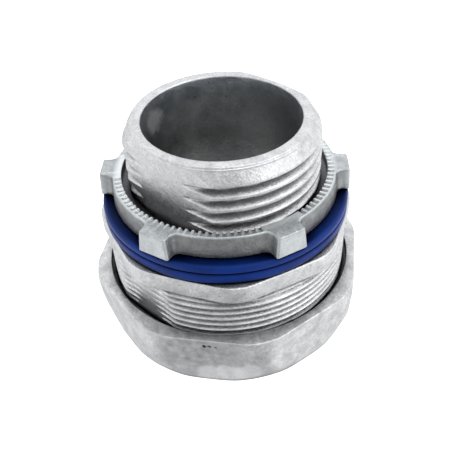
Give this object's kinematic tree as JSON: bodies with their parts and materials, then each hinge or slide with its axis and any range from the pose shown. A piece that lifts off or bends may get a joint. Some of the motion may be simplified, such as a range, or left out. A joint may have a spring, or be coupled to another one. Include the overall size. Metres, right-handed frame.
{
  "type": "conduit compression connector",
  "caption": "Raintight compression connector that joins rigid or intermediate metal conduit to a box, with octagonal gland nut, lugged locknut and blue sealing ring.",
  "frame": {"origin": "on the fitting's axis, in the plane of the shoulder face that the sealing ring sits on", "axes": "+Z along the axis out of the box thread; -Z out of the conduit entry; +Y and -Y through the middles of the two parting flats"},
  "size_m": [0.0398, 0.0398, 0.0317],
  "materials": {
    "connector_body": "satin",
    "locknut": "satin",
    "sealing_ring": "satin",
    "gland_nut": "matte",
    "split_compression_ring": "satin",
    "slip_washer": "satin",
    "gland_seal": "matte"
  },
  "bodies": {
    "connector_body": {"connector_body": "connector_body"},
    "gland_stack": {"split_compression_ring": "split_compression_ring", "slip_washer": "slip_washer", "gland_seal": "gland_seal"},
    "gland_nut": {"gland_nut": "gland_nut"},
    "sealing_ring": {"sealing_ring": "sealing_ring"},
    "locknut": {"locknut": "locknut"}
  },
  "joints": [
    {"name": "gland_travel", "type": "slide", "parent": "connector_body", "child": "gland_stack", "axis": [0, 0, 1], "range_m": [-0.00423, 0.00212]},
    {"name": "gland_nut_turn", "type": "hinge", "parent": "gland_stack", "child": "gland_nut", "pos_m": [0, 0, -0.0125], "axis": [0, 0, 1], "range_deg": [-1440, 720]},
    {"name": "locknut_turn", "type": "hinge", "parent": "connector_body", "child": "sealing_ring", "pos_m": [0, 0, 0.0015], "axis": [0, 0, 1], "range_deg": [0, 2192.6]},
    {"name": "locknut_travel", "type": "slide", "parent": "sealing_ring", "child": "locknut", "axis": [0, 0, 1], "range_m": [0, 0.01105]}
  ],
  "couplings": [
    {"joint": "gland_travel", "follows": "gland_nut_turn", "m_per_rad": 0.00016844},
    {"joint": "locknut_travel", "follows": "locknut_turn", "m_per_rad": 0.00028875}
  ]
}
